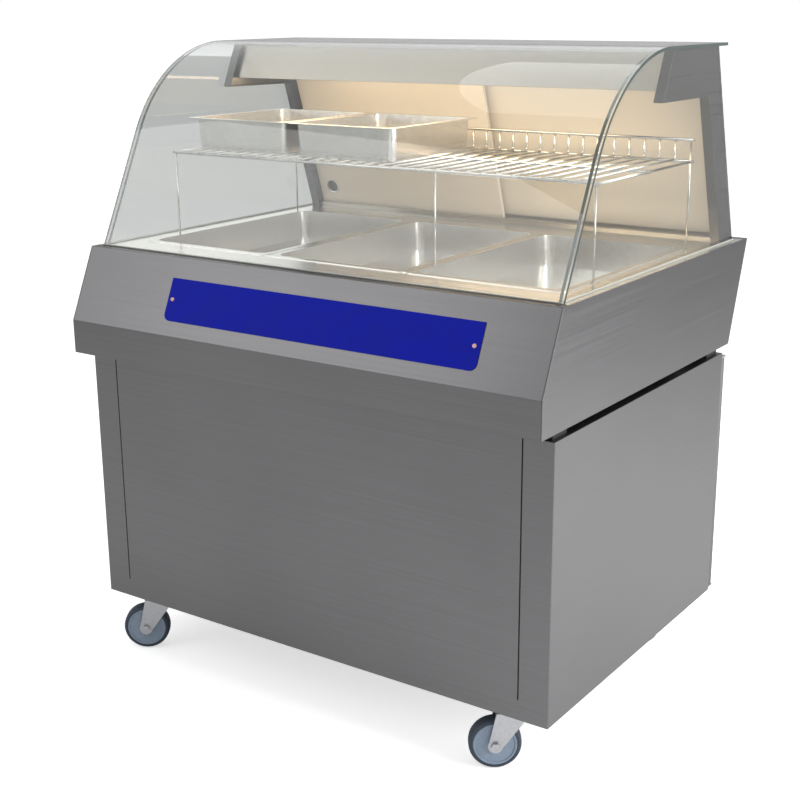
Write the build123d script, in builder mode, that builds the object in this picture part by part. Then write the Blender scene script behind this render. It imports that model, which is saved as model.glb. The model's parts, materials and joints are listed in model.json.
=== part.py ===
from build123d import *
import math
import os

# Hot food display case: a castor-mounted cabinet carries a counter head with a well of
# gastronorm pans under a curved glass canopy. Front is -Y, +X is the front view's right,
# +Z is up and the floor is z = 0.

# ---------------------------------------------------------------- driving dimensions
sheet = 2.0                    # steel sheet of every folded panel
cabinet_width = 1096.0
cabinet_depth = 730.0
cabinet_height = 536.0
castor_height = 131.0
head_gap = 15.0                # shadow gap between cabinet and head
head_side_overhang = 2.0       # head past the cabinet on each side
lip_overhang = 50.0            # head lip in front of the cabinet front
rear_overhang = 96.0           # head top edge behind the cabinet rear
rear_lean = 72.0               # how far the head's rear panel leans out
lip_height = 69.0
slope_rise = 144.0
slope_run = 65.0
flange = 20.0                  # folded edge of the head panels

slot_inset = 62.0              # decorative slot from the cabinet corner
slot_width = 2.5
slot_foot = 40.0               # solid steel left under the slot

door_thick = 20.0
door_gap = 1.5                 # half the gap between the two cabinet doors
door_reveal = 9.0              # cabinet edge left bare above and below the doors
return_width = 27.0            # inward fold at the rear of each cabinet side
pin_radius = 4.0
running_clearance = 0.05
hinge_plate = 4.0
pin_length = 20.0
handle_length = 120.0
handle_bar = 10.0
handle_post = 4.0
handle_stand = 34.0

pan_width = 325.0
pan_length = 530.0
pan_depth = 65.0
pan_gap = 4.0                  # between the rims of neighbouring pans
pan_rim = 10.0
pan_sheet = 1.5
pan_setback = 100.0            # pan front edge behind the top of the slope
pan_taper = 3.0
well_depth = 110.0
well_margin = 12.0             # tank wall outside the pan openings

glass_thick = 6.0
glass_inset = 13.0             # glass end from the head's side
glass_setback = 22.0           # foot of the curved glass behind the slope's top edge
glass_lean = 26.0
glass_height = 401.0
glass_radius = 311.0
glass_overhang = 30.3          # glass top behind the posts
glass_seat = 0.5               # sealant gap between the glass panes

bracket_width = 20.0
post_setback = 100.0           # post foot in front of the head's rear edge
post_foot = 62.0
post_lean = 18.0
arm_height = 94.0
arm_reach = 379.0              # arm tip behind the foot of the glass
arm_tip_lean = 24.0

canopy_drop = 74.0
reflector_end_gap = 53.0
canopy_tip = 12.0              # canopy front behind the arm tip
canopy_door_gap = 18.7         # canopy rear wall in front of the posts' front edge

door_travel_overlap = 22.0
slide_door_thick = 8.0
track_rib = 2.0
track_gap = 1.0
track_floor = 10.0
track_top = 386.0
track_cap = 3.0
track_lap = 8.0
pull_radius = 14.0
pull_height = 58.0
pull_inset = 38.0

shelf_height = 175.0           # wire shelf above the counter
shelf_front = 185.0            # shelf front rod behind the foot of the glass
shelf_depth = 405.0
shelf_end_gap = 5.0            # shelf end to the side bracket
shelf_rod = 3.0
shelf_wire = 1.5
shelf_leg = 1.8
shelf_side = 2.6
shelf_pitch = 33.0
wire_rise = 2.5                # cross wires lie in the tops of the rods
weld = 0.7                     # how far a welded wire end sinks past a rod's axis
wire_overhang = 2.2
rail_height = 42.0
tray_width = 265.0
tray_length = 325.0
tray_depth = 65.0
tray_clearance = 0.3

sign_length = 718.0
sign_height = 86.0
sign_x = 55.0
sign_thick = 2.0
sign_corner = 14.0

swivel_inset = 100.0           # castor axis from the cabinet's side
swivel_front = 57.0            # front castor axis behind the cabinet front
swivel_rear = 57.0             # rear castor axis in front of the cabinet rear
castor_angle = 214.7           # trail direction of every castor at rest
castor_trail = 36.0
wheel_radius = 50.0
wheel_width = 32.0
hub_radius = 42.0
axle_radius = 5.0
fork_clearance = 3.0           # from the tyre to each fork cheek
fork_plate = 3.0
crown_base = 112.0
crown_thick = 4.5
race_radius = 25.0
race_gap = 0.4
plate_thick = 4.0
plate_size = 100.0
kingpin_radius = 6.0

# ---------------------------------------------------------------- derived levels
pan_pitch = pan_width + pan_gap
head_depth = lip_overhang + cabinet_depth + rear_overhang
y_lip = -head_depth / 2
y_rear_top = head_depth / 2
y_rear_bottom = y_rear_top - rear_lean
y_cab_front = y_lip + lip_overhang
y_cab_rear = y_cab_front + cabinet_depth
y_slope_top = y_lip + slope_run
z_cab = castor_height
z_cab_top = z_cab + cabinet_height
z_head = z_cab_top + head_gap
z_fold = z_head + lip_height
z_deck = z_fold + slope_rise
half_cab = cabinet_width / 2
half_head = half_cab + head_side_overhang
panel_half = half_head - sheet

glass_half = half_head - glass_inset
glass_foot = y_slope_top + glass_setback
glass_top = z_deck + glass_height
pane_outer = glass_half - glass_thick
pane_inner = pane_outer - glass_thick

post_front = y_rear_top - post_setback
arm_top = glass_top - glass_thick
arm_bottom = arm_top - arm_height
arm_tip = glass_foot + arm_reach
track_y = post_front + post_foot / 2
lean_tan = math.tan(math.radians(post_lean))
lean_sin = math.sin(math.radians(post_lean))
lean_cos = math.cos(math.radians(post_lean))

os.makedirs("parts", exist_ok=True)


def write(builder, name):
    """Labels a finished piece and writes it as its own node."""
    builder.part.label = name
    export_step(builder.part, f"parts/{name}.step")


def side_name(sign):
    """The word for a side of the case, seen from its front."""
    return "right" if sign > 0 else "left"


# ---------------------------------------------------------------- castors
swivel_x = half_cab - swivel_inset
fork_half_gap = wheel_width / 2 + fork_clearance
turn = math.radians(castor_angle)
trail_dir = (math.cos(turn), math.sin(turn), 0)
axle_dir = (-math.sin(turn), math.cos(turn), 0)
castor_places = {
    "front_left": (-swivel_x, y_cab_front + swivel_front),
    "front_right": (swivel_x, y_cab_front + swivel_front),
    "rear_left": (-swivel_x, y_cab_rear - swivel_rear),
    "rear_right": (swivel_x, y_cab_rear - swivel_rear),
}


def castor_plane(place, shift):
    """Upright plane along the trail: x is the trail, y is up, shift is along the axle."""
    x = place[0] + shift * axle_dir[0]
    y = place[1] + shift * axle_dir[1]
    return Plane(origin=(x, y, 0), x_dir=trail_dir, z_dir=(-axle_dir[0], -axle_dir[1], 0))


with BuildPart() as castor_plates:
    plate_z = z_cab - plate_thick
    with BuildSketch(Plane.XY.offset(plate_z)):
        with Locations(*castor_places.values()):
            RectangleRounded(plate_size, plate_size, 8)
    extrude(amount=plate_thick)
    race_z = crown_base + crown_thick + race_gap
    with BuildSketch(Plane.XY.offset(race_z)):
        with Locations(*castor_places.values()):
            Circle(race_radius)
    extrude(amount=plate_z - race_z)
    with BuildSketch(Plane.XY.offset(crown_base - 4)):
        with Locations(*castor_places.values()):
            Circle(kingpin_radius)
    extrude(amount=race_z - crown_base + 4)
    with BuildSketch(Plane.XY.offset(crown_base - 4)):
        with Locations(*castor_places.values()):
            RegularPolygon(9, 6)
    extrude(amount=3.5)
write(castor_plates, "castor_plates")

for corner, place in castor_places.items():
    # Pressed fork: a crown disc under the race and two cheeks down to the axle.
    crown = Plane(origin=(place[0], place[1], crown_base), x_dir=trail_dir, z_dir=(0, 0, 1))
    cheek = fork_half_gap + fork_plate
    with BuildPart() as fork:
        with BuildSketch(crown):
            Circle(race_radius + 1)
            with Locations(((castor_trail - race_radius) / 2, 0)):
                RectangleRounded(castor_trail + race_radius, 2 * cheek, 3)
            Circle(kingpin_radius + running_clearance, mode=Mode.SUBTRACT)
        extrude(amount=crown_thick)
        for side in (fork_half_gap, -cheek):
            with BuildSketch(castor_plane(place, side + fork_plate)):
                with BuildLine():
                    Polyline((-race_radius, crown_base), (castor_trail, crown_base),
                             (castor_trail + 12, wheel_radius + 6),
                             (castor_trail - 12, wheel_radius - 6), close=True)
                make_face()
                with Locations((castor_trail, wheel_radius)):
                    Circle(14)
            extrude(amount=fork_plate)
        with BuildSketch(castor_plane(place, 0)):
            with Locations((castor_trail, wheel_radius)):
                Circle(axle_radius)
        extrude(amount=2 * cheek, both=True, mode=Mode.SUBTRACT)
    write(fork, f"castor_fork_{corner}")

    # Axle bolt: plain shank through both cheeks, a hexagon head and nut outside them.
    with BuildPart() as axle:
        with BuildSketch(castor_plane(place, 0)):
            with Locations((castor_trail, wheel_radius)):
                Circle(axle_radius)
        extrude(amount=cheek, both=True)
        with BuildSketch(castor_plane(place, cheek + 6)):
            with Locations((castor_trail, wheel_radius)):
                RegularPolygon(9, 6)
        extrude(amount=6)
        with BuildSketch(castor_plane(place, -cheek)):
            with Locations((castor_trail, wheel_radius)):
                RegularPolygon(9, 6)
        extrude(amount=6)
    write(axle, f"castor_axle_{corner}")

    # Wheel centre: a moulded disc with a longer boss that keeps it off the cheeks.
    with BuildPart() as hub:
        with BuildSketch(castor_plane(place, 0)):
            with Locations((castor_trail, wheel_radius)):
                Circle(hub_radius)
        extrude(amount=wheel_width / 2 - 3, both=True)
        with BuildSketch(castor_plane(place, 0)):
            with Locations((castor_trail, wheel_radius)):
                Circle(13)
        extrude(amount=fork_half_gap - 1, both=True)
        with BuildSketch(castor_plane(place, 0)):
            with Locations((castor_trail, wheel_radius)):
                Circle(axle_radius + running_clearance)
        extrude(amount=fork_half_gap, both=True, mode=Mode.SUBTRACT)
    write(hub, f"castor_hub_{corner}")

    # Rubber tyre with rounded shoulders, moulded round the centre.
    with BuildPart() as tyre:
        with BuildSketch(castor_plane(place, 0)):
            with Locations((castor_trail, wheel_radius)):
                Circle(wheel_radius)
        extrude(amount=wheel_width / 2, both=True)
        outer_edges = tyre.edges().filter_by(GeomType.CIRCLE)
        fillet(outer_edges, radius=7)
        with BuildSketch(castor_plane(place, 0)):
            with Locations((castor_trail, wheel_radius)):
                Circle(hub_radius)
        extrude(amount=wheel_width, both=True, mode=Mode.SUBTRACT)
    write(tyre, f"castor_tyre_{corner}")

# ---------------------------------------------------------------- cabinet
# Front skin, with the two long slots that mark off the corner folds.
with BuildPart() as cabinet_front:
    with BuildSketch(Plane.XZ.offset(-y_cab_front)):
        with Locations((0, z_cab + cabinet_height / 2)):
            Rectangle(cabinet_width, cabinet_height)
        slot_rise = cabinet_height - slot_foot
        with Locations((0, z_cab + slot_foot + slot_rise / 2)):
            with GridLocations(cabinet_width - 2 * slot_inset, 1, 2, 1):
                Rectangle(slot_width, slot_rise, mode=Mode.SUBTRACT)
    extrude(amount=-sheet)
write(cabinet_front, "cabinet_front_panel")

for sign in (-1, 1):
    # Side sheet with the narrow fold that the rear doors close against.
    with BuildPart() as cabinet_side:
        with BuildSketch(Plane.XY.offset(z_cab)):
            with BuildLine():
                Polyline((sign * (half_cab - return_width), y_cab_rear),
                         (sign * half_cab, y_cab_rear),
                         (sign * half_cab, y_cab_front + sheet),
                         (sign * (half_cab - sheet), y_cab_front + sheet),
                         (sign * (half_cab - sheet), y_cab_rear - sheet),
                         (sign * (half_cab - return_width), y_cab_rear - sheet), close=True)
            make_face()
        extrude(amount=cabinet_height)
    write(cabinet_side, f"cabinet_side_{side_name(sign)}")

inner_half = half_cab - sheet
cabinet_mid = (y_cab_front + y_cab_rear) / 2
for name, level in (("cabinet_base_panel", z_cab), ("cabinet_top_panel", z_cab_top - sheet)):
    with BuildPart() as cabinet_plate:
        with BuildSketch(Plane.XY.offset(level)):
            with Locations((0, cabinet_mid)):
                Rectangle(2 * inner_half, cabinet_depth - 2 * sheet)
        extrude(amount=sheet)
    write(cabinet_plate, name)

# Rear doors: double-skinned leaves hung on pins at their outer edges, which are rounded
# about the pin so that they clear the cabinet as they open.
door_low = z_cab + door_reveal
door_high = z_cab_top - door_reveal - hinge_plate
door_height = door_high - door_low
pin_y = y_cab_rear + 1 + door_thick / 2
pin_x = half_cab - door_thick / 2
handle_z = door_high - 120
handle_x = 60.0

for sign in (-1, 1):
    with BuildPart() as cabinet_door:
        with BuildSketch(Plane.XY.offset(door_low)):
            with Locations((sign * (door_gap + pin_x) / 2, pin_y)):
                Rectangle(pin_x - door_gap, door_thick)
            with Locations((sign * pin_x, pin_y)):
                Circle(door_thick / 2)
        extrude(amount=door_height)
        for level in (door_low, door_high - pin_length):
            with BuildSketch(Plane.XY.offset(level)):
                with Locations((sign * pin_x, pin_y)):
                    Circle(pin_radius + running_clearance)
            extrude(amount=pin_length, mode=Mode.SUBTRACT)
    write(cabinet_door, f"cabinet_door_{side_name(sign)}")

    # Bow handle: two posts and a bar, standing off the leaf for the fingers.
    post_y = pin_y + door_thick / 2
    with BuildPart() as handle:
        for level in (handle_z - handle_length / 2, handle_z + handle_length / 2):
            with BuildSketch(Plane.XZ.offset(-post_y)):
                with Locations((sign * handle_x, level)):
                    Circle(handle_post)
            extrude(amount=-(handle_stand - handle_bar / 2))
        with BuildSketch(Plane.XY.offset(handle_z - handle_length / 2 - handle_bar / 2)):
            with Locations((sign * handle_x, post_y + handle_stand - handle_bar / 2)):
                Circle(handle_bar / 2)
        extrude(amount=handle_length + handle_bar)
    write(handle, f"cabinet_handle_{side_name(sign)}")

# Hinge plates above and below each leaf, each with its pin.
with BuildPart() as hinges:
    for sign in (-1, 1):
        for level, pin_base in ((door_low - hinge_plate - 0.5, door_low - 0.5),
                                (door_high + 0.5, door_high - pin_length + 1)):
            with BuildSketch(Plane.XY.offset(level)):
                with Locations((sign * pin_x, (y_cab_rear + pin_y + 9) / 2)):
                    Rectangle(door_thick, pin_y + 9 - y_cab_rear)
            extrude(amount=hinge_plate)
            with BuildSketch(Plane.XY.offset(pin_base)):
                with Locations((sign * pin_x, pin_y)):
                    Circle(pin_radius)
            extrude(amount=pin_length - 0.5)
write(hinges, "cabinet_hinges")

# Spacer blocks that hold the head off the cabinet.
with BuildPart() as spacers:
    with BuildSketch(Plane.XY.offset(z_cab_top)):
        with Locations((0, cabinet_mid)):
            with GridLocations(cabinet_width - 70, cabinet_depth - 70, 2, 2):
                Rectangle(50, 50)
            with GridLocations(1, cabinet_depth - 160, 1, 2):
                Rectangle(cabinet_width - 160, 30)
    extrude(amount=head_gap)
write(spacers, "head_spacers")

# ---------------------------------------------------------------- counter head
# Front fascia: bottom flange, upright lip, slope and top flange, in one folded sheet.
with BuildPart() as fascia:
    with BuildSketch(Plane.YZ.offset(-panel_half)):
        with BuildLine():
            Polyline((y_lip + flange, z_head), (y_lip, z_head), (y_lip, z_fold),
                     (y_slope_top, z_deck), (y_slope_top + flange, z_deck))
            offset(amount=sheet, side=Side.RIGHT, kind=Kind.INTERSECTION)
        make_face()
    extrude(amount=2 * panel_half)
write(fascia, "head_fascia")

# Rear control panel, folded like the fascia, with cut-outs for the controls.
rear_mid = ((y_rear_bottom + y_rear_top) / 2, (z_head + z_deck) / 2)
rear_length = math.hypot(rear_lean, z_deck - z_head)
rear_normal = (0, (z_deck - z_head) / rear_length, -rear_lean / rear_length)
control_plane = Plane(origin=(0, *rear_mid), x_dir=(-1, 0, 0), z_dir=rear_normal)
knob_x = 0.0
switch_xs = {"heat": -110.0, "light": 110.0}
pilot_xs = (-160.0, 160.0)
gland_x = 400.0
cutout = (19.0, 27.0)
pilot_radius = 6.0
gland_radius = 10.0
shaft_radius = 3.0

with BuildPart() as rear_panel:
    with BuildSketch(Plane.YZ.offset(-panel_half)):
        with BuildLine():
            Polyline((y_rear_bottom - flange, z_head), (y_rear_bottom, z_head),
                     (y_rear_top, z_deck), (y_rear_top - flange, z_deck))
            offset(amount=sheet, side=Side.LEFT, kind=Kind.INTERSECTION)
        make_face()
    extrude(amount=2 * panel_half)
    with BuildSketch(control_plane):
        with Locations((knob_x, 0)):
            Circle(shaft_radius + 1.5)
        with Locations(*[(x, 0) for x in switch_xs.values()]):
            Rectangle(*cutout)
        with Locations(*[(x, 0) for x in pilot_xs]):
            Circle(pilot_radius)
        with Locations((gland_x, -40)):
            Circle(gland_radius)
    extrude(amount=-2 * sheet, mode=Mode.SUBTRACT)
write(rear_panel, "head_rear_panel")

with BuildPart() as head_sides:
    for level in (-half_head, panel_half):
        with BuildSketch(Plane.YZ.offset(level)):
            with BuildLine():
                Polyline((y_lip, z_head), (y_lip, z_fold), (y_slope_top, z_deck),
                         (y_rear_top, z_deck), (y_rear_bottom, z_head), close=True)
            make_face()
        extrude(amount=sheet)
write(head_sides, "head_sides")

with BuildPart() as head_base:
    with BuildSketch(Plane.XY.offset(z_head)):
        base_front = y_lip + flange
        base_rear = y_rear_bottom - flange
        with Locations((0, (base_front + base_rear) / 2)):
            Rectangle(2 * panel_half, base_rear - base_front)
    extrude(amount=sheet)
write(head_base, "head_base_panel")

# Counter top with one opening for each pan: the webs between them carry the rims.
pan_front = y_slope_top + pan_setback
pan_mid = pan_front + pan_length / 2
pan_open = (pan_width - 2 * pan_rim, pan_length - 2 * pan_rim)
pan_xs = {"left": -pan_pitch, "middle": 0.0, "right": pan_pitch}
with BuildPart() as counter_top:
    with BuildSketch(Plane.XY.offset(z_deck - sheet)):
        deck_front = y_slope_top + flange
        deck_rear = y_rear_top - flange
        with Locations((0, (deck_front + deck_rear) / 2)):
            Rectangle(2 * panel_half, deck_rear - deck_front)
        with Locations((0, pan_mid)):
            with GridLocations(pan_pitch, 1, 3, 1):
                RectangleRounded(*pan_open, 20, mode=Mode.SUBTRACT)
    extrude(amount=sheet)
write(counter_top, "counter_top")

# Open-topped tank under the counter, with the heater in it.
tank_half = pan_pitch + pan_width / 2 - pan_rim + well_margin
tank_length = pan_open[1] + 2 * well_margin
tank_floor = z_deck - sheet - well_depth
with BuildPart() as well_tank:
    with BuildSketch(Plane.XY.offset(tank_floor)):
        with Locations((0, pan_mid)):
            Rectangle(2 * tank_half, tank_length)
    extrude(amount=well_depth)
    with BuildSketch(Plane.XY.offset(tank_floor + sheet)):
        with Locations((0, pan_mid)):
            Rectangle(2 * (tank_half - sheet), tank_length - 2 * sheet)
    extrude(amount=well_depth, mode=Mode.SUBTRACT)
write(well_tank, "well_tank")

element_radius = 4.0
element_z = tank_floor + sheet + 10
element_turn = 90.0
with BuildPart() as element:
    with BuildLine():
        start_x = -(tank_half - sheet)
        turn_x = tank_half - 160
        front_y = pan_mid - element_turn
        rear_y = pan_mid + element_turn
        Line((start_x, front_y, element_z), (turn_x, front_y, element_z))
        ThreePointArc((turn_x, front_y, element_z), (turn_x + element_turn, pan_mid, element_z),
                      (turn_x, rear_y, element_z))
        Line((turn_x, rear_y, element_z), (start_x, rear_y, element_z))
    with BuildSketch(Plane(origin=(start_x, front_y, element_z), z_dir=(1, 0, 0))):
        Circle(element_radius)
    sweep()
write(element, "heating_element")


def build_pan(centre, floor_to_rim, rim_z, size, name):
    """Tapered gastronorm pan with a flat rim; rim_z is the underside of the rim."""
    body = (size[0] - 2 * pan_rim - 3, size[1] - 2 * pan_rim - 3)
    with BuildPart() as pan:
        with BuildSketch(Plane.XY.offset(rim_z)):
            with Locations(centre):
                RectangleRounded(*size, 12)
        extrude(amount=pan_sheet)
        with BuildSketch(Plane.XY.offset(rim_z)):
            with Locations(centre):
                RectangleRounded(*body, 24)
        extrude(amount=-floor_to_rim, taper=pan_taper)
        with BuildSketch(Plane.XY.offset(rim_z + pan_sheet)):
            with Locations(centre):
                RectangleRounded(body[0] - 2 * pan_sheet, body[1] - 2 * pan_sheet, 23)
        extrude(amount=-floor_to_rim, taper=pan_taper, mode=Mode.SUBTRACT)
    write(pan, name)


for place_name, x in pan_xs.items():
    build_pan((x, pan_mid), pan_depth, z_deck, (pan_width, pan_length), f"food_pan_{place_name}")

# ---------------------------------------------------------------- controls
knob_radius = 20.0
knob_height = 18.0
with BuildPart() as thermostat:
    with BuildSketch(control_plane.offset(-sheet)):
        with Locations((knob_x, 0)):
            Rectangle(40, 40)
            Circle(shaft_radius + running_clearance, mode=Mode.SUBTRACT)
    extrude(amount=-20)
    with BuildSketch(control_plane.offset(-sheet - 20)):
        with Locations((knob_x, 0)):
            Rectangle(40, 40)
    extrude(amount=-6)
write(thermostat, "thermostat")

with BuildPart() as knob:
    with BuildSketch(control_plane.offset(1)):
        with Locations((knob_x, 0)):
            Circle(knob_radius)
    extrude(amount=5)
    with BuildSketch(control_plane.offset(6)):
        with Locations((knob_x, 0)):
            Circle(knob_radius - 4)
    extrude(amount=knob_height - 6, taper=4)
    with BuildSketch(control_plane.offset(-sheet - 18)):
        with Locations((knob_x, 0)):
            Circle(shaft_radius)
    extrude(amount=sheet + 19)
write(knob, "thermostat_knob")

rocker_pivot = -3.0
switch_places = [(x, 0) for x in switch_xs.values()]
with BuildPart() as switch_bodies:
    with BuildSketch(control_plane):
        with Locations(*switch_places):
            RectangleRounded(cutout[0] + 5, cutout[1] + 5, 2)
    extrude(amount=3)
    with BuildSketch(control_plane.offset(-14)):
        with Locations(*switch_places):
            Rectangle(*cutout)
    extrude(amount=14)
    with BuildSketch(control_plane.offset(-12)):
        with Locations(*switch_places):
            Rectangle(cutout[0] - 2.4, cutout[1] - 2.4)
    extrude(amount=16, mode=Mode.SUBTRACT)
write(switch_bodies, "switch_bodies")

for word, x in switch_xs.items():
    rocker_plane = Plane(origin=control_plane.from_local_coords((x + 8, 0, 0)),
                         x_dir=control_plane.y_dir, z_dir=-control_plane.x_dir)
    with BuildPart() as rocker:
        with BuildSketch(rocker_plane):
            with BuildLine():
                Polyline((-11.5, rocker_pivot), (-9.5, 5), (9.5, 5), (11.5, rocker_pivot), (9.5, -8),
                         (-9.5, -8), close=True)
            make_face()
        extrude(amount=16)
    write(rocker, f"rocker_{word}")

with BuildPart() as pilots:
    with BuildSketch(control_plane.offset(-12)):
        with Locations(*[(x, 0) for x in pilot_xs]):
            Circle(pilot_radius)
    extrude(amount=12)
    with BuildSketch(control_plane):
        with Locations(*[(x, 0) for x in pilot_xs]):
            Circle(pilot_radius + 2)
    extrude(amount=4, taper=15)
write(pilots, "pilot_lights")

with BuildPart() as gland:
    with BuildSketch(control_plane.offset(-10)):
        with Locations((gland_x, -40)):
            Circle(gland_radius)
    extrude(amount=10)
    with BuildSketch(control_plane):
        with Locations((gland_x, -40)):
            RegularPolygon(14, 6)
    extrude(amount=8)
    with BuildSketch(control_plane.offset(8)):
        with Locations((gland_x, -40)):
            Circle(11)
    extrude(amount=10, taper=12)
    with BuildSketch(control_plane.offset(-10)):
        with Locations((gland_x, -40)):
            Circle(4.5)
    extrude(amount=30, mode=Mode.SUBTRACT)
write(gland, "cable_gland")


# ---------------------------------------------------------------- glass
def glass_line(inset):
    """Foot, corner and rear end of the glass outline, moved inwards by inset."""
    foot = glass_foot + inset / math.cos(math.radians(glass_lean))
    rise = glass_height - inset
    return (foot, z_deck), (foot + rise * math.tan(math.radians(glass_lean)), z_deck + rise)


post_top_rear = post_front + post_foot - (arm_top - z_deck) * lean_tan
glass_rear = post_top_rear + glass_overhang
with BuildPart() as curved_glass:
    with BuildSketch(Plane.YZ.offset(-glass_half)):
        with BuildLine():
            outer = FilletPolyline(*glass_line(0), (glass_rear, glass_top), radius=glass_radius)
            inner = FilletPolyline(*glass_line(glass_thick), (glass_rear, glass_top - glass_thick),
                                   radius=glass_radius - glass_thick)
            Line(outer @ 0, inner @ 0)
            Line(outer @ 1, inner @ 1)
        make_face()
    extrude(amount=2 * glass_half)
write(curved_glass, "curved_glass")

pane_inset = glass_thick + glass_seat
pane_top = glass_top - pane_inset
with BuildPart() as end_glasses:
    for level in (-pane_outer, pane_inner):
        with BuildSketch(Plane.YZ.offset(level)):
            with BuildLine():
                pane_line = FilletPolyline(*glass_line(pane_inset), (post_top_rear, pane_top),
                                           radius=glass_radius - pane_inset)
                Polyline(pane_line @ 1, (post_front + post_foot, z_deck), pane_line @ 0)
            make_face()
        extrude(amount=glass_thick)
write(end_glasses, "end_glasses")

# ---------------------------------------------------------------- side brackets
bracket_outline = [
    (arm_tip, arm_bottom),
    (arm_tip + arm_height * math.tan(math.radians(arm_tip_lean)), arm_top),
    (post_top_rear, arm_top),
    (post_front + post_foot, z_deck),
    (post_front, z_deck),
    (post_front - (arm_bottom - z_deck) * lean_tan, arm_bottom),
]
bracket_inner = pane_inner - bracket_width
# Folded channels, open towards the inside: each is a rear post and the arm it carries.
with BuildPart() as side_brackets:
    for outer_level, cut_level in ((-pane_inner, sheet - pane_inner), (bracket_inner, bracket_inner)):
        with BuildSketch(Plane.YZ.offset(outer_level)):
            with BuildLine():
                Polyline(*bracket_outline, close=True)
            make_face()
        extrude(amount=bracket_width)
        with BuildSketch(Plane.YZ.offset(cut_level)):
            with BuildLine():
                Polyline(*bracket_outline, close=True)
            make_face()
            offset(amount=-sheet, kind=Kind.INTERSECTION, mode=Mode.REPLACE)
        extrude(amount=bracket_width - sheet, mode=Mode.SUBTRACT)
write(side_brackets, "side_brackets")

# ---------------------------------------------------------------- lamp canopy
web_half = pane_inner - sheet
canopy_low = arm_top - canopy_drop
canopy_top = arm_top - sheet - 1
canopy_back = post_front - (canopy_low - z_deck) * lean_tan - canopy_door_gap
tip_tan = math.tan(math.radians(arm_tip_lean))
canopy_front = arm_tip + canopy_tip + (canopy_low - arm_bottom) * tip_tan
canopy_front_top = canopy_front + (canopy_top - canopy_low) * tip_tan
with BuildPart() as canopy:
    with BuildSketch(Plane.YZ.offset(-web_half)):
        with BuildLine():
            Polyline((canopy_front, canopy_low), (canopy_front_top, canopy_top),
                     (canopy_back, canopy_top), (canopy_back, canopy_low))
            offset(amount=sheet, side=Side.RIGHT, kind=Kind.INTERSECTION)
        make_face()
    extrude(amount=2 * web_half)
write(canopy, "lamp_canopy")

lamp_y = (canopy_front_top + canopy_back) / 2
ceiling = canopy_top - sheet
reflector_sheet = 1.0
reflector_half = web_half - reflector_end_gap
with BuildPart() as reflector:
    with BuildSketch(Plane.YZ.offset(-reflector_half)):
        with BuildLine():
            Polyline((lamp_y - 50, ceiling - 50), (lamp_y - 26, ceiling), (lamp_y + 26, ceiling),
                     (lamp_y + 50, ceiling - 50))
            offset(amount=reflector_sheet, side=Side.RIGHT, kind=Kind.INTERSECTION)
        make_face()
    extrude(amount=2 * reflector_half)
write(reflector, "lamp_reflector")

lamp_count = 3
lamp_radius = 6.0
lamp_pitch = 2 * reflector_half / lamp_count
holder_thick = 14.0
lamp_z = ceiling - 40
lamp_length = lamp_pitch - 2 * holder_thick - 16
holder_drop = 48.0
with BuildPart() as holders:
    with BuildSketch(Plane.XY.offset(ceiling - reflector_sheet)):
        with Locations((0, lamp_y)):
            with GridLocations(lamp_pitch, 1, lamp_count, 1):
                with GridLocations(lamp_length + holder_thick, 1, 2, 1):
                    Rectangle(holder_thick, 22)
    extrude(amount=-holder_drop)
write(holders, "lamp_holders")

with BuildPart() as lamps:
    for index in range(lamp_count):
        centre_x = (index - (lamp_count - 1) / 2) * lamp_pitch
        with BuildSketch(Plane.YZ.offset(centre_x - lamp_length / 2)):
            with Locations((lamp_y, lamp_z)):
                Circle(lamp_radius)
        extrude(amount=lamp_length)
write(lamps, "heat_lamps")

# ---------------------------------------------------------------- rear sliding doors
# Both doors stand in a leaning plane: its x is +X, its y runs up the lean and its z
# points forwards, into the case.
rail_half = 22.0
door_offset = 6.0
leaf_plane = Plane(origin=(0, track_y, z_deck), x_dir=(1, 0, 0), z_dir=(0, -lean_cos, -lean_sin))

rib_centres = (-rail_half + track_rib / 2, 0, rail_half - track_rib / 2)


def track_plane(half):
    """Section plane of a track of this half length: x runs forwards, y up the lean."""
    return Plane(origin=(half, track_y, z_deck), x_dir=(0, -lean_cos, -lean_sin), z_dir=(-1, 0, 0))


with BuildPart() as tracks:
    with BuildSketch(track_plane(bracket_inner)):
        with BuildLine():
            Polyline((-rail_half, -rail_half * lean_tan), (rail_half, rail_half * lean_tan),
                     (rail_half, track_floor), (-rail_half, track_floor), close=True)
        make_face()
        for centre in rib_centres:
            with Locations((centre, track_floor + track_lap / 2)):
                Rectangle(track_rib, track_lap)
    extrude(amount=2 * bracket_inner)
    with BuildSketch(track_plane(web_half)):
        with Locations((0, track_top + track_cap / 2)):
            Rectangle(2 * rail_half, track_cap)
        for centre in rib_centres:
            with Locations((centre, track_top - track_lap / 2)):
                Rectangle(track_rib, track_lap)
    extrude(amount=2 * web_half)
write(tracks, "door_tracks")

leaf_low = track_floor + track_gap
leaf_high = track_top - track_gap
leaf_reach = bracket_inner - 5
leaf_width = leaf_reach + door_travel_overlap / 2
leaf_centre = (leaf_reach - door_travel_overlap / 2) / 2
leaf_levels = {-1: door_offset, 1: -door_offset - slide_door_thick}
for sign, level in leaf_levels.items():
    pull_face = level + slide_door_thick if sign < 0 else level
    with BuildPart() as leaf:
        with BuildSketch(leaf_plane.offset(level)):
            with Locations((sign * leaf_centre, (leaf_low + leaf_high) / 2)):
                Rectangle(leaf_width, leaf_high - leaf_low)
        extrude(amount=slide_door_thick)
        with BuildSketch(leaf_plane.offset(pull_face)):
            with Locations((sign * (leaf_reach - pull_inset), pull_height)):
                Circle(pull_radius)
        extrude(amount=sign * 5, mode=Mode.SUBTRACT)
    write(leaf, f"sliding_door_{side_name(sign)}")

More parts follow.
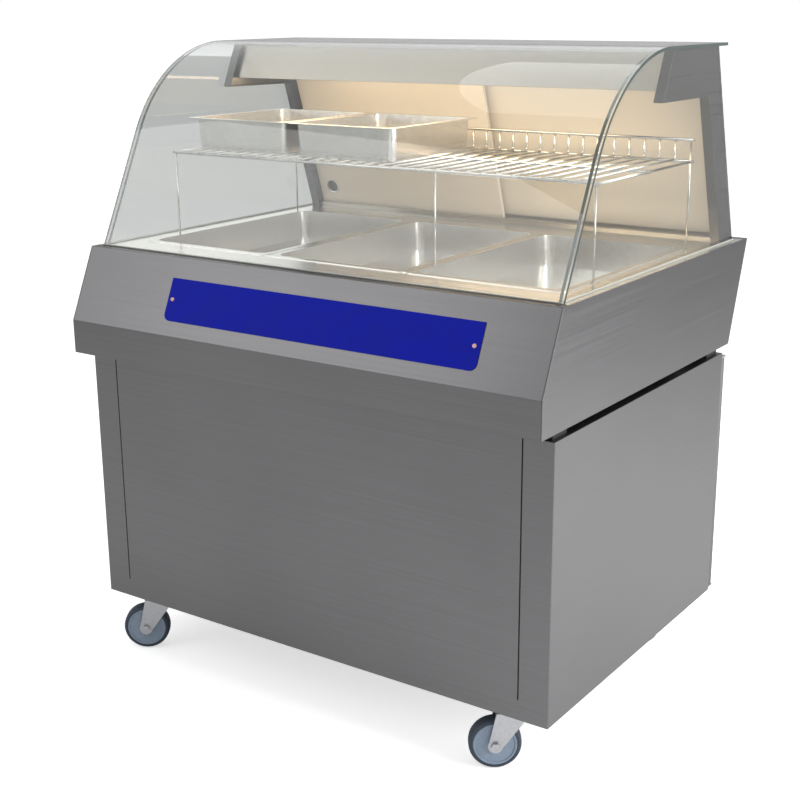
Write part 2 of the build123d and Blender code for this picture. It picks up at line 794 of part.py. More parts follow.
# ---------------------------------------------------------------- wire shelf
shelf_half = bracket_inner - shelf_end_gap
shelf_y = glass_foot + shelf_front
shelf_rear = shelf_y + shelf_depth
shelf_z = z_deck + shelf_height
leg_x = shelf_half - 2 * shelf_rod
front_legs = (-leg_x, pan_pitch / 2, leg_x)
rear_legs = (-leg_x, leg_x)
with BuildPart() as shelf:
    for y in (shelf_y, shelf_y + shelf_depth / 2, shelf_rear):
        with BuildSketch(Plane.YZ.offset(-shelf_half)):
            with Locations((y, shelf_z)):
                Circle(shelf_rod)
        extrude(amount=2 * shelf_half)
    for x in (-shelf_half + shelf_rod, shelf_half - shelf_rod):
        with BuildSketch(Plane.XZ.offset(-shelf_y - weld)):
            with Locations((x, shelf_z)):
                Circle(shelf_side)
        extrude(amount=2 * weld - shelf_depth)
    for x, y in [(x, shelf_y) for x in front_legs] + [(x, shelf_rear) for x in rear_legs]:
        with BuildSketch(Plane.XY.offset(z_deck)):
            with Locations((x, y)):
                Circle(shelf_leg)
        extrude(amount=shelf_height - weld + (rail_height if y == shelf_rear else 0))
    wire_count = int(2 * shelf_half / shelf_pitch) - 1
    for index in range(wire_count):
        x = (index - (wire_count - 1) / 2) * shelf_pitch
        with BuildSketch(Plane.XZ.offset(-shelf_y + wire_overhang)):
            with Locations((x, shelf_z + wire_rise)):
                Circle(shelf_wire)
        extrude(amount=-shelf_depth - 2 * wire_overhang)
        with BuildSketch(Plane.XY.offset(shelf_z + weld)):
            with Locations((x + shelf_pitch / 2, shelf_rear)):
                Circle(shelf_wire)
        extrude(amount=rail_height - 2 * weld)
    with BuildSketch(Plane.YZ.offset(-shelf_half)):
        with Locations((shelf_rear, shelf_z + rail_height)):
            Circle(shelf_rod)
    extrude(amount=2 * shelf_half)
write(shelf, "wire_shelf")

tray_z = shelf_z + wire_rise + shelf_wire + tray_clearance + tray_depth
tray_y = shelf_y + 30 + tray_length / 2
for sign in (-1, 1):
    tray_x = -shelf_half + 12 + tray_width / 2 + (0 if sign < 0 else tray_width + 4)
    build_pan((tray_x, tray_y), tray_depth, tray_z, (tray_width, tray_length),
              f"shelf_tray_{side_name(sign)}")

# ---------------------------------------------------------------- sign plate
slope_length = math.hypot(slope_run, slope_rise)
slope_normal = (0, -slope_rise / slope_length, slope_run / slope_length)
slope_plane = Plane(origin=(sign_x, y_lip + slope_run / 2, z_fold + slope_rise / 2),
                    x_dir=(1, 0, 0), z_dir=slope_normal)
sign_drop = 6.0
with BuildPart() as sign_plate:
    with BuildSketch(slope_plane) as sign_face:
        with Locations((0, -sign_drop)):
            Rectangle(sign_length, sign_height)
        fillet(sign_face.vertices().group_by(Axis.Y)[0], radius=sign_corner)
    extrude(amount=sign_thick)
write(sign_plate, "sign_plate")

with BuildPart() as sign_screws:
    with BuildSketch(slope_plane.offset(sign_thick)):
        with Locations((0, -sign_drop)):
            with GridLocations(sign_length - 24, 1, 2, 1):
                Circle(4)
    extrude(amount=2, taper=20)
write(sign_screws, "sign_screws")
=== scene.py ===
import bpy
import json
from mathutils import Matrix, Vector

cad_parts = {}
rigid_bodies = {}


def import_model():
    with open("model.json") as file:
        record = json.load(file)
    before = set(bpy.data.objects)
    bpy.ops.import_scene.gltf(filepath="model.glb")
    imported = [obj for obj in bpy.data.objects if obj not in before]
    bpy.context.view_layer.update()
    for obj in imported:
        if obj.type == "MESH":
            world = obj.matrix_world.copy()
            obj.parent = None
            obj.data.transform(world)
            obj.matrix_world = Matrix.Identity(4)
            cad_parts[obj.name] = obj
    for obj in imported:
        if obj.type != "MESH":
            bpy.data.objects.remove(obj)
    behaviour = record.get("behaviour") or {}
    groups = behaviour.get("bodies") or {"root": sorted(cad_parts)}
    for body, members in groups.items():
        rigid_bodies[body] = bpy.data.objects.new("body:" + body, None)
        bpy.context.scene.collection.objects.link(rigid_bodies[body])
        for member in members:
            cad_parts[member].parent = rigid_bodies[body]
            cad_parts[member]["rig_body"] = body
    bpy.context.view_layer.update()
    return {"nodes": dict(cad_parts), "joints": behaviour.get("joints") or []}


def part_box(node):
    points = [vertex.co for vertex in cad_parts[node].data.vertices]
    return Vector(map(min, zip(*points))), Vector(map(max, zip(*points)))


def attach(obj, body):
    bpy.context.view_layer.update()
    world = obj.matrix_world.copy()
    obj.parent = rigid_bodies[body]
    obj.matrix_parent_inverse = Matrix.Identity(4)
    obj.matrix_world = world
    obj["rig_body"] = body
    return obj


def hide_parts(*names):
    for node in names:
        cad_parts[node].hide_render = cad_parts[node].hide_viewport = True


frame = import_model()

import json
import math

import bmesh
import bpy
from mathutils import Matrix, Vector

# ------------------------------------------------------------------ where things are
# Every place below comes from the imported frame; MM turns millimetres into metres.
MM = 0.001
scene = bpy.context.scene
deck_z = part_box("counter_top")[1].z
glass_low, glass_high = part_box("curved_glass")
cab_low, cab_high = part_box("cabinet_front_panel")


def link(mesh, name, material, body="case"):
    """Puts a finished mesh in the scene as a named piece riding on a body."""
    piece = bpy.data.objects.new(name, mesh)
    scene.collection.objects.link(piece)
    for slot_material in material if isinstance(material, (list, tuple)) else [material]:
        mesh.materials.append(slot_material)
    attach(piece, body)
    return piece


# ------------------------------------------------------------------ shader groups
# Brushed grain: fine streaks that run level along the upright sheets, with broad faint
# cloudiness over them. Outputs feed colour, roughness and normal.
def new_group(name, inputs, outputs):
    group = bpy.data.node_groups.new(name, "ShaderNodeTree")
    for label, kind, value in inputs:
        socket = group.interface.new_socket(name=label, in_out="INPUT", socket_type=kind)
        socket.default_value = value
    for label, kind in outputs:
        group.interface.new_socket(name=label, in_out="OUTPUT", socket_type=kind)
    return group, group.nodes.new("NodeGroupInput"), group.nodes.new("NodeGroupOutput")


def noise_in(tree, vector, scale, detail=3.0):
    noise = tree.nodes.new("ShaderNodeTexNoise")
    noise.inputs["Scale"].default_value = scale
    noise.inputs["Detail"].default_value = detail
    tree.links.new(vector, noise.inputs["Vector"])
    return noise.outputs["Fac"]


def map_range(tree, value, low, high):
    node = tree.nodes.new("ShaderNodeMapRange")
    node.inputs["From Min"].default_value = 0.25
    node.inputs["From Max"].default_value = 0.75
    node.inputs["To Min"].default_value = low
    node.inputs["To Max"].default_value = high
    tree.links.new(value, node.inputs["Value"])
    return node.outputs["Result"]


def multiply(tree, first, second):
    node = tree.nodes.new("ShaderNodeMath")
    node.operation = "MULTIPLY"
    tree.links.new(first, node.inputs[0])
    tree.links.new(second, node.inputs[1])
    return node.outputs[0]


def make_brushed():
    group, inside, outside = new_group(
        "brushed_grain",
        [("Color", "NodeSocketColor", (0.5, 0.5, 0.5, 1)), ("Stretch", "NodeSocketVector", (1, 1, 260)),
         ("Roughness", "NodeSocketFloat", 0.35)],
        [("Color", "NodeSocketColor"), ("Roughness", "NodeSocketFloat"), ("Normal", "NodeSocketVector")])
    coords = group.nodes.new("ShaderNodeTexCoord")
    stretch = group.nodes.new("ShaderNodeVectorMath")
    stretch.operation = "MULTIPLY"
    group.links.new(coords.outputs["Object"], stretch.inputs[0])
    group.links.new(inside.outputs["Stretch"], stretch.inputs[1])
    streaks = noise_in(group, stretch.outputs[0], 2.2, 6.0)
    clouds = noise_in(group, coords.outputs["Object"], 2.6, 2.0)
    shade = multiply(group, map_range(group, streaks, 0.93, 1.07), map_range(group, clouds, 0.95, 1.05))
    tint = group.nodes.new("ShaderNodeVectorMath")
    tint.operation = "SCALE"
    group.links.new(inside.outputs["Color"], tint.inputs[0])
    group.links.new(shade, tint.inputs["Scale"])
    group.links.new(tint.outputs[0], outside.inputs["Color"])
    rough = multiply(group, map_range(group, streaks, 0.85, 1.2), inside.outputs["Roughness"])
    group.links.new(rough, outside.inputs["Roughness"])
    bump = group.nodes.new("ShaderNodeBump")
    bump.inputs["Strength"].default_value = 0.05
    bump.inputs["Distance"].default_value = 0.0004
    group.links.new(streaks, bump.inputs["Height"])
    group.links.new(bump.outputs["Normal"], outside.inputs["Normal"])
    return group


def make_grime():
    """Slight unevenness for moulded and painted pieces."""
    group, inside, outside = new_group(
        "uneven",
        [("Color", "NodeSocketColor", (0.5, 0.5, 0.5, 1)), ("Scale", "NodeSocketFloat", 30.0),
         ("Roughness", "NodeSocketFloat", 0.5)],
        [("Color", "NodeSocketColor"), ("Roughness", "NodeSocketFloat"), ("Normal", "NodeSocketVector")])
    coords = group.nodes.new("ShaderNodeTexCoord")
    noise = group.nodes.new("ShaderNodeTexNoise")
    noise.inputs["Detail"].default_value = 5.0
    group.links.new(coords.outputs["Object"], noise.inputs["Vector"])
    group.links.new(inside.outputs["Scale"], noise.inputs["Scale"])
    tint = group.nodes.new("ShaderNodeVectorMath")
    tint.operation = "SCALE"
    group.links.new(inside.outputs["Color"], tint.inputs[0])
    group.links.new(map_range(group, noise.outputs["Fac"], 0.9, 1.08), tint.inputs["Scale"])
    group.links.new(tint.outputs[0], outside.inputs["Color"])
    rough = multiply(group, map_range(group, noise.outputs["Fac"], 0.88, 1.15), inside.outputs["Roughness"])
    group.links.new(rough, outside.inputs["Roughness"])
    bump = group.nodes.new("ShaderNodeBump")
    bump.inputs["Strength"].default_value = 0.08
    bump.inputs["Distance"].default_value = 0.0003
    group.links.new(noise.outputs["Fac"], bump.inputs["Height"])
    group.links.new(bump.outputs["Normal"], outside.inputs["Normal"])
    return group


brushed = make_brushed()
uneven = make_grime()


# ------------------------------------------------------------------ materials
def finish_of(name, group, color, roughness, metallic=0.0, stretch=None, scale=None, **extra):
    """A material of one finish: a shader group in front of one Principled shader."""
    material = bpy.data.materials.new(name)
    material.use_nodes = True
    tree = material.node_tree
    shader = tree.nodes["Principled BSDF"]
    node = tree.nodes.new("ShaderNodeGroup")
    node.node_tree = group
    node.inputs["Color"].default_value = (*color, 1)
    node.inputs["Roughness"].default_value = roughness
    if stretch:
        node.inputs["Stretch"].default_value = stretch
    if scale:
        node.inputs["Scale"].default_value = scale
    tree.links.new(node.outputs["Color"], shader.inputs["Base Color"])
    tree.links.new(node.outputs["Roughness"], shader.inputs["Roughness"])
    tree.links.new(node.outputs["Normal"], shader.inputs["Normal"])
    shader.inputs["Metallic"].default_value = metallic
    for label, value in extra.items():
        shader.inputs[label.replace("_", " ")].default_value = value
    return material


def glass_material(name, color, strength):
    """Clear glass that lets lamp light through: shadow rays pass, other rays refract."""
    material = bpy.data.materials.new(name)
    material.use_nodes = True
    tree = material.node_tree
    shader = tree.nodes["Principled BSDF"]
    shader.inputs["Base Color"].default_value = (*color, 1)
    shader.inputs["Roughness"].default_value = 0.0
    shader.inputs["Transmission Weight"].default_value = strength
    shader.inputs["IOR"].default_value = 1.45
    path = tree.nodes.new("ShaderNodeLightPath")
    clear = tree.nodes.new("ShaderNodeBsdfTransparent")
    clear.inputs["Color"].default_value = (*[channel ** 0.5 for channel in color], 1)
    mix = tree.nodes.new("ShaderNodeMixShader")
    out = tree.nodes["Material Output"]
    tree.links.new(path.outputs["Is Shadow Ray"], mix.inputs["Fac"])
    tree.links.new(shader.outputs["BSDF"], mix.inputs[1])
    tree.links.new(clear.outputs["BSDF"], mix.inputs[2])
    tree.links.new(mix.outputs["Shader"], out.inputs["Surface"])
    return material


steel = finish_of("brushed_steel_sheet", brushed, (0.200, 0.197, 0.202), 0.34, metallic=1.0,
                  stretch=(0.8, 0.8, 160.0))
# Painted highlight: the deck and well are the same brushed steel as the sheets, set much lighter for the
# light their upward faces catch.
steel_deck_painted_lit = finish_of("brushed_steel_deck_painted_lit", brushed, (0.74, 0.72, 0.68), 0.24, metallic=1.0,
                       stretch=(0.8, 160.0, 0.8))
# Painted light: the canopy is the same brushed steel, set lighter and warmer for the studio light and warm
# lamp glow that fall on it.
steel_canopy_painted_lit = finish_of("brushed_steel_canopy_painted_lit", brushed, (0.40, 0.37, 0.325), 0.32, metallic=1.0,
                        stretch=(0.8, 160.0, 160.0))
# Painted shade: the side brackets are the same brushed steel, set darker for the shade they stand in.
steel_bracket_painted_shade = finish_of("brushed_steel_bracket_painted_shade", brushed, (0.11, 0.107, 0.105), 0.30, metallic=1.0,
                       stretch=(0.8, 0.8, 160.0))
pan_steel = finish_of("satin_pan", brushed, (0.68, 0.665, 0.64), 0.22, metallic=1.0, stretch=(60, 60, 60))
chrome = finish_of("plated_wire", uneven, (0.52, 0.51, 0.49), 0.18, metallic=1.0, scale=80.0)
zinc = finish_of("zinc_plate", uneven, (0.55, 0.56, 0.58), 0.36, metallic=1.0, scale=160.0)
tyre_rubber = finish_of("grey_tyre", uneven, (0.045, 0.060, 0.085), 0.6, scale=220.0)
wheel_plastic = finish_of("wheel_centre", uneven, (0.27, 0.34, 0.44), 0.40, scale=120.0)
black_plastic = finish_of("black_moulding", uneven, (0.025, 0.025, 0.027), 0.35, scale=90.0)
# Painted shade: this near-black finish stands in for the shadow in the gap under the head and inside the
# cabinet slots.
painted_shade_black = finish_of("spacer_block_painted_shade", uneven, (0.02, 0.02, 0.02), 0.7, scale=60.0)
track_metal = finish_of("track_extrusion", brushed, (0.40, 0.38, 0.34), 0.34, metallic=1.0,
                        stretch=(0.8, 160.0, 160.0))
cream = finish_of("cream_coat", uneven, (0.66, 0.60, 0.505), 0.42, scale=420.0)
sign_blue = finish_of("blue_plate", uneven, (0.004, 0.011, 0.36), 0.6, scale=25.0,
                      Specular_IOR_Level=0.12)
ceramic = finish_of("glazed_ceramic", uneven, (0.80, 0.77, 0.70), 0.3, scale=60.0)
sealant = finish_of("clear_sealant", uneven, (0.42, 0.43, 0.40), 0.35, scale=200.0)
mark_white = finish_of("printed_mark", uneven, (0.75, 0.75, 0.73), 0.5, scale=50.0)
cap_red = finish_of("screw_cap", uneven, (0.72, 0.42, 0.38), 0.4, scale=90.0)
pilot_amber = finish_of("amber_lens", uneven, (0.85, 0.28, 0.03), 0.2, scale=90.0,
                        Emission_Color=(1.0, 0.35, 0.05, 1), Emission_Strength=0.4)
lamp_glow = finish_of("lamp_tube", uneven, (1.0, 0.62, 0.28), 0.2, scale=60.0,
                      Emission_Color=(1.0, 0.58, 0.24, 1), Emission_Strength=3.0)
clear_glass = glass_material("clear_glass", (0.965, 0.985, 0.975), 1.0)
glass_edge = finish_of("polished_glass_edge", uneven, (0.09, 0.115, 0.105), 0.12, scale=20.0,
                       Transmission_Weight=0.35)

NODE_FINISHES = {
    "castor_fork": zinc, "castor_axle": zinc, "castor_plates": zinc, "castor_hub": wheel_plastic,
    "castor_tyre": tyre_rubber, "cabinet_hinges": zinc, "cabinet_handle": chrome, "cabinet": steel,
    "head_spacers": painted_shade_black, "head": steel, "counter_top": steel_deck_painted_lit, "well_tank": steel_deck_painted_lit,
    "heating_element": zinc, "food_pan": pan_steel, "shelf_tray": pan_steel, "wire_shelf": chrome,
    "thermostat": black_plastic, "switch_bodies": black_plastic, "rocker": black_plastic,
    "cable_gland": black_plastic, "pilot_lights": pilot_amber, "side_brackets": steel_bracket_painted_shade,
    "lamp_canopy": steel_canopy_painted_lit, "lamp_reflector": pan_steel, "lamp_holders": ceramic,
    "heat_lamps": lamp_glow, "door_tracks": track_metal, "sliding_door": cream,
    "sign_plate": sign_blue, "sign_screws": cap_red, "curved_glass": clear_glass,
    "end_glasses": clear_glass,
}


def finish_for(node):
    """The finish whose word starts the node's name, the longest word winning."""
    words = [word for word in NODE_FINISHES if node.startswith(word)]
    return NODE_FINISHES[max(words, key=len)]


for node, cad_object in frame["nodes"].items():
    cad_object.data.materials.clear()
    cad_object.data.materials.append(finish_for(node))

# ------------------------------------------------------------------ softened sheet edges
# Folded and cut sheet never has a perfectly sharp edge: each of these nodes is shown by a
# copy of its own mesh with every hard edge broken by a small round.
EDGE_ANGLE = math.radians(20)


def soften(node, width, segments=2):
    source = frame["nodes"][node]
    mesh = bpy.data.meshes.new(node + "_soft")
    shape = bmesh.new()
    shape.from_mesh(source.data)
    bmesh.ops.remove_doubles(shape, verts=shape.verts, dist=1e-6)
    bmesh.ops.dissolve_limit(shape, angle_limit=math.radians(1), verts=shape.verts, edges=shape.edges)
    sharp = [edge for edge in shape.edges
             if len(edge.link_faces) == 2 and edge.calc_face_angle(0) > EDGE_ANGLE]
    bmesh.ops.bevel(shape, geom=sharp, offset=width, offset_type="OFFSET", segments=segments,
                    profile=0.5, affect="EDGES", clamp_overlap=True)
    bmesh.ops.recalc_face_normals(shape, faces=shape.faces)
    for face in shape.faces:
        face.smooth = True
    shape.to_mesh(mesh)
    shape.free()
    mesh.set_sharp_from_angle(angle=math.radians(40))
    piece = link(mesh, node + "_shown", finish_for(node), source["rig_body"])
    piece.modifiers.new("weighted", "WEIGHTED_NORMAL").keep_sharp = True
    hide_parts(node)
    return piece


SOFT_EDGES = {
    "cabinet_front_panel": 0.8, "cabinet_side_left": 0.8, "cabinet_side_right": 0.8,
    "cabinet_door_left": 1.5, "cabinet_door_right": 1.5, "head_fascia": 0.8, "head_rear_panel": 0.8,
    "head_sides": 0.7, "side_brackets": 0.7, "lamp_canopy": 0.7, "sign_plate": 0.5,
    "sliding_door_left": 1.0, "sliding_door_right": 1.0, "door_tracks": 0.3, "thermostat_knob": 0.8,
    "rocker_heat": 0.5, "rocker_light": 0.5, "switch_bodies": 0.4, "cable_gland": 0.5,
    "head_spacers": 0.8, "castor_plates": 0.6,
}
for node, width in SOFT_EDGES.items():
    soften(node, width * MM)
for node in frame["nodes"]:
    if node.startswith(("castor_fork", "castor_axle", "castor_hub")):
        soften(node, 0.5 * MM)


# ------------------------------------------------------------------ small mesh makers
def box_mesh(name, low, high, material, body="case", bevel=0.0):
    """A block between two corners, with rounded edges if asked."""
    shape = bmesh.new()
    bmesh.ops.create_cube(shape, size=1.0)
    low, high = Vector(low), Vector(high)
    for vert in shape.verts:
        vert.co = Vector(((low + high) / 2)[i] + vert.co[i] * (high - low)[i] for i in range(3))
    if bevel:
        bmesh.ops.bevel(shape, geom=shape.edges[:], offset=bevel, segments=2, profile=0.5,
                        affect="EDGES")
    mesh = bpy.data.meshes.new(name)
    shape.to_mesh(mesh)
    shape.free()
    return link(mesh, name, material, body)


def lathe(name, profile, centre, axis, material, body="case", steps=48, ring=False):
    """Turns (radius, height) points about an axis; a ring closes on itself, not with caps."""
    turn = Vector((0, 0, 1)).rotation_difference(Vector(axis).normalized()).to_matrix()
    shape = bmesh.new()
    loops = []
    for radius, height in profile:
        loop = []
        for step in range(steps):
            angle = 2 * math.pi * step / steps
            point = Vector((radius * math.cos(angle), radius * math.sin(angle), height))
            loop.append(shape.verts.new(Vector(centre) + turn @ point))
        loops.append(loop)
    for loop, following in zip(loops, loops[1:] + loops[:1] if ring else loops[1:]):
        for step in range(steps):
            after = (step + 1) % steps
            shape.faces.new((loop[step], loop[after], following[after], following[step]))
    if not ring:
        shape.faces.new(list(reversed(loops[0])))
        shape.faces.new(loops[-1])
    bmesh.ops.recalc_face_normals(shape, faces=shape.faces)
    for face in shape.faces:
        face.smooth = len(face.verts) == 4
    mesh = bpy.data.meshes.new(name)
    shape.to_mesh(mesh)
    shape.free()
    mesh.set_sharp_from_angle(angle=math.radians(35))
    return link(mesh, name, material, body)


def pan_screw(name, centre, axis, radius, material=zinc, body="case"):
    """Domed screw head with a shallow round drive recess."""
    dome = [(radius, 0), (radius * 0.96, radius * 0.25), (radius * 0.75, radius * 0.45),
            (radius * 0.4, radius * 0.55), (radius * 0.34, radius * 0.55), (radius * 0.28, radius * 0.3)]
    return lathe(name, dome, centre, axis, material, body, steps=24)


# ------------------------------------------------------------------ glass
# The curved front is one bent sheet and each end is a flat pane cut to the same curve. The
# faces are clear and the ground, polished edges show the deep grey-green of the glass.
GLASS = 6 * MM
SEAT = 0.5 * MM
LEAN = math.radians(26)
BEND = 311 * MM
ARC_STEPS = 40


def glass_points(inset, rear_y):
    """Points of the glass line, moved inwards by inset, from the foot to a rear end."""
    foot = Vector((glass_low.y + inset / math.cos(LEAN), glass_low.z))
    top = glass_high.z - inset
    radius = BEND - inset
    corner_y = foot.x + (top - foot.y) * math.tan(LEAN)
    tangent = radius * math.tan((math.pi / 2 - LEAN) / 2)
    centre = Vector((corner_y + tangent, top - radius))
    points = [foot]
    for step in range(ARC_STEPS + 1):
        angle = math.pi - LEAN - (math.pi / 2 - LEAN) * step / ARC_STEPS
        points.append(centre + radius * Vector((math.cos(angle), math.sin(angle))))
    points.append(Vector((rear_y, top)))
    return points


def slab(name, outline, x_low, x_high, face_slots, edge_slot):
    """Extrudes a closed (y, z) outline along x; face_slots names the outline's own edges."""
    shape = bmesh.new()
    near = [shape.verts.new((x_low, point.x, point.y)) for point in outline]
    far = [shape.verts.new((x_high, point.x, point.y)) for point in outline]
    count = len(outline)
    for index in range(count):
        after = (index + 1) % count
        face = shape.faces.new((near[index], near[after], far[after], far[index]))
        face.material_index = face_slots(index)
        face.smooth = True
    for ring in (near, list(reversed(far))):
        cap = shape.faces.new(ring)
        cap.material_index = edge_slot
    bmesh.ops.recalc_face_normals(shape, faces=shape.faces)
    mesh = bpy.data.meshes.new(name)
    shape.to_mesh(mesh)
    shape.free()
    mesh.set_sharp_from_angle(angle=math.radians(25))
    return link(mesh, name, [clear_glass, glass_edge])


outer_line = glass_points(0, glass_high.y)
inner_line = glass_points(GLASS, glass_high.y)
ring_points = outer_line + list(reversed(inner_line))
last = len(outer_line) - 1
end_edges = {last, 2 * last + 1}
curved = slab("curved_glass_shown", ring_points, glass_low.x, glass_high.x,
              lambda index: 1 if index in end_edges else 0, 1)
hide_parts("curved_glass")

pane_low, pane_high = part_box("end_glasses")
post_low, post_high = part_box("side_brackets")
arm_top_z = post_high.z
post_lean = math.tan(math.radians(18))
pane_rear_top = post_high.y - (arm_top_z - deck_z) * post_lean
pane_line = glass_points(GLASS + SEAT, pane_rear_top)
pane_outline = pane_line + [Vector((post_high.y, deck_z))]
for word, x_low in (("left", pane_low.x), ("right", pane_high.x - GLASS)):
    pane = slab(f"end_glass_{word}", pane_outline, x_low, x_low + GLASS, lambda index: 1, 0)
    if word == "left":
        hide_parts("end_glasses")

# Bead of clear sealant along the foot of the curved glass and of each end pane.
BEAD = 3 * MM
box_mesh("front_glass_bead", (glass_low.x, glass_low.y - BEAD, deck_z),
         (glass_high.x, glass_low.y, deck_z + BEAD), sealant, bevel=1.2 * MM)
for word, sign in (("left", -1), ("right", 1)):
    pane_x = sign * pane_high.x
    bead_xs = sorted((pane_x, pane_x + sign * BEAD))
    box_mesh(f"end_glass_bead_{word}", (bead_xs[0], glass_low.y + GLASS * 2, deck_z),
             (bead_xs[1], post_high.y, deck_z + BEAD), sealant, bevel=1.2 * MM)

# ------------------------------------------------------------------ castors
# Tyre and centre are turned shapes: the tyre has rounded shoulders and a slightly crowned
# tread, and the centre has a dished web between its rim and its boss.
for corner in ("front_left", "front_right", "rear_left", "rear_right"):
    spin = next(j for j in frame["joints"] if j["name"] == f"wheel_spin_{corner}")
    centre, axis = Vector(spin["pos_m"]), Vector(spin["axis"])
    half = 16 * MM
    tread = [(0.0421, -half), (0.0445, -half), (0.0464, -half + 0.0008), (0.0482, -half + 0.003),
             (0.0494, -half + 0.006), (0.0499, -0.006), (0.05, 0.0)]
    tyre_profile = tread + [(radius, -height) for radius, height in reversed(tread[:-1])]
    tyre = lathe(f"tyre_{corner}", tyre_profile, centre, axis, tyre_rubber, f"wheel_{corner}", 96, ring=True)
    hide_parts(f"castor_tyre_{corner}")
    for side in (-1, 1):
        rim = [(0.0419, 0.0), (0.0416, 0.0018), (0.0392, 0.0024), (0.0372, 0.0016), (0.0368, -0.0002)]
        lathe(f"wheel_rim_{corner}_{'in' if side < 0 else 'out'}", rim,
              centre + axis * side * 13 * MM, axis * side, wheel_plastic, f"wheel_{corner}", 72, ring=True)
        boss = [(0.0165, 0), (0.0162, 0.0024), (0.014, 0.0034), (0.0134, 0.0034)]
        lathe(f"wheel_boss_{corner}_{'in' if side < 0 else 'out'}", boss,
              centre + axis * side * 13 * MM, axis * side, wheel_plastic, f"wheel_{corner}", 48, ring=True)
    swivel = next(j for j in frame["joints"] if j["name"] == f"castor_swivel_{corner}")
    place = Vector(swivel["pos_m"])
    race = [(0.0255, 0), (0.030, 0), (0.0305, 0.0015), (0.0295, 0.0042), (0.0255, 0.0052)]
    lathe(f"race_cover_{corner}", race, (place.x, place.y, 0.1174), (0, 0, 1), zinc, ring=True)
    for dx in (-1, 1):
        for dy in (-1, 1):
            bolt = (place.x + dx * 38 * MM, place.y + dy * 38 * MM, cab_low.z - 4 * MM)
            pan_screw(f"castor_bolt_{corner}_{dx + 1}{dy + 1}", bolt, (0, 0, -1), 5.5 * MM)

# ------------------------------------------------------------------ cabinet slots
# A thin black block closes each long slot from behind: painted shade, so the slot reads as a dark line.
slot_x = cab_high.x - 62 * MM
for word, sign in (("left", -1), ("right", 1)):
    shade_block_xs = sorted((sign * (slot_x - 14 * MM), sign * (slot_x + 14 * MM)))
    box_mesh(f"slot_painted_shade_block_{word}", (shade_block_xs[0], cab_high.y + 0.2 * MM, cab_low.z + 6 * MM),
             (shade_block_xs[1], cab_high.y + 1.4 * MM, cab_high.z - 6 * MM), painted_shade_black)

# ------------------------------------------------------------------ wire shelf
# Plated round rods: three level rods carry the cross wires, whose rear ends turn up into the
# guard rail, and thin legs with flat feet stand on the counter.
shelf_low, shelf_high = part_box("wire_shelf")
ROD = 3 * MM
WIRE = 2 * MM
SHELF_LEVEL = deck_z + 175 * MM
RAIL_LEVEL = SHELF_LEVEL + 42 * MM
BEND_STEPS = 6


def bent_rod(name, points, radius, material=chrome, body="case", corner=0.0, sides=12):
    """A round rod through points, its inner corners rounded to a radius."""
    path = [Vector(points[0])]
    for before, point, after in zip(points, points[1:], points[2:]):
        before, point, after = Vector(before), Vector(point), Vector(after)
        start = point + (before - point).normalized() * corner
        end = point + (after - point).normalized() * corner
        for step in range(BEND_STEPS + 1):
            share = step / BEND_STEPS
            path.append(start.lerp(point, share).lerp(point.lerp(end, share), share))
    path.append(Vector(points[-1]))
    shape = bmesh.new()
    rings = []
    side = None
    for index, point in enumerate(path):
        along = (path[min(index + 1, len(path) - 1)] - path[max(index - 1, 0)]).normalized()
        if side is None:
            side = along.orthogonal().normalized()
        side = (side - along * side.dot(along)).normalized()
        other = along.cross(side)
        rings.append([shape.verts.new(point + radius * (math.cos(turn) * side + math.sin(turn) * other))
                      for turn in (2 * math.pi * step / sides for step in range(sides))])
    for ring, following in zip(rings, rings[1:]):
        for step in range(sides):
            after = (step + 1) % sides
            face = shape.faces.new((ring[step], ring[after], following[after], following[step]))
            face.smooth = True
    shape.faces.new(list(reversed(rings[0])))
    shape.faces.new(rings[-1])
    bmesh.ops.recalc_face_normals(shape, faces=shape.faces)
    mesh = bpy.data.meshes.new(name)
    shape.to_mesh(mesh)
    shape.free()
    return link(mesh, name, material, body)


shelf_y = shelf_low.y + ROD
shelf_rear = shelf_high.y - ROD
for word, y, z in (("front", shelf_y, SHELF_LEVEL), ("middle", (shelf_y + shelf_rear) / 2, SHELF_LEVEL),
                   ("rear", shelf_rear, SHELF_LEVEL), ("rail", shelf_rear, RAIL_LEVEL)):
    bent_rod(f"shelf_rod_{word}", [(shelf_low.x, y, z), (shelf_high.x, y, z)], ROD)
for word, x in (("left", shelf_low.x + ROD), ("right", shelf_high.x - ROD)):
    bent_rod(f"shelf_side_{word}", [(x, shelf_y, SHELF_LEVEL), (x, shelf_rear, SHELF_LEVEL)], 2.6 * MM)
CROSS_WIRES = 29
for index in range(CROSS_WIRES):
    x = (index - (CROSS_WIRES - 1) / 2) * 33 * MM
    top = SHELF_LEVEL + 2.5 * MM
    bent_rod(f"cross_wire_{index}", [(x, shelf_y - 1.5 * MM, top), (x, shelf_rear - WIRE, top),
                                     (x, shelf_rear - WIRE, RAIL_LEVEL)], WIRE, corner=8 * MM, sides=8)
leg_x = shelf_high.x - 2 * ROD
for word, x, y, top in (("front_left", -leg_x, shelf_y, SHELF_LEVEL),
                        ("front_right", leg_x, shelf_y, SHELF_LEVEL),
                        ("front_middle", 164.5 * MM, shelf_y, SHELF_LEVEL),
                        ("rear_left", -leg_x, shelf_rear, RAIL_LEVEL),
                        ("rear_right", leg_x, shelf_rear, RAIL_LEVEL)):
    bent_rod(f"shelf_leg_{word}", [(x, y, deck_z), (x, y, top)], 1.9 * MM)
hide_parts("wire_shelf")

# ------------------------------------------------------------------ rear controls
# Dial ticks round the thermostat, a pointer on its knob, plain marks on the rockers.
dial = next(j for j in frame["joints"] if j["name"] == "thermostat_turn")
normal = Vector(dial["axis"])
dial_centre = Vector(dial["pos_m"])
across = Vector((-1, 0, 0))
upward = normal.cross(across)
panel_frame = Matrix((across, upward, normal)).transposed()


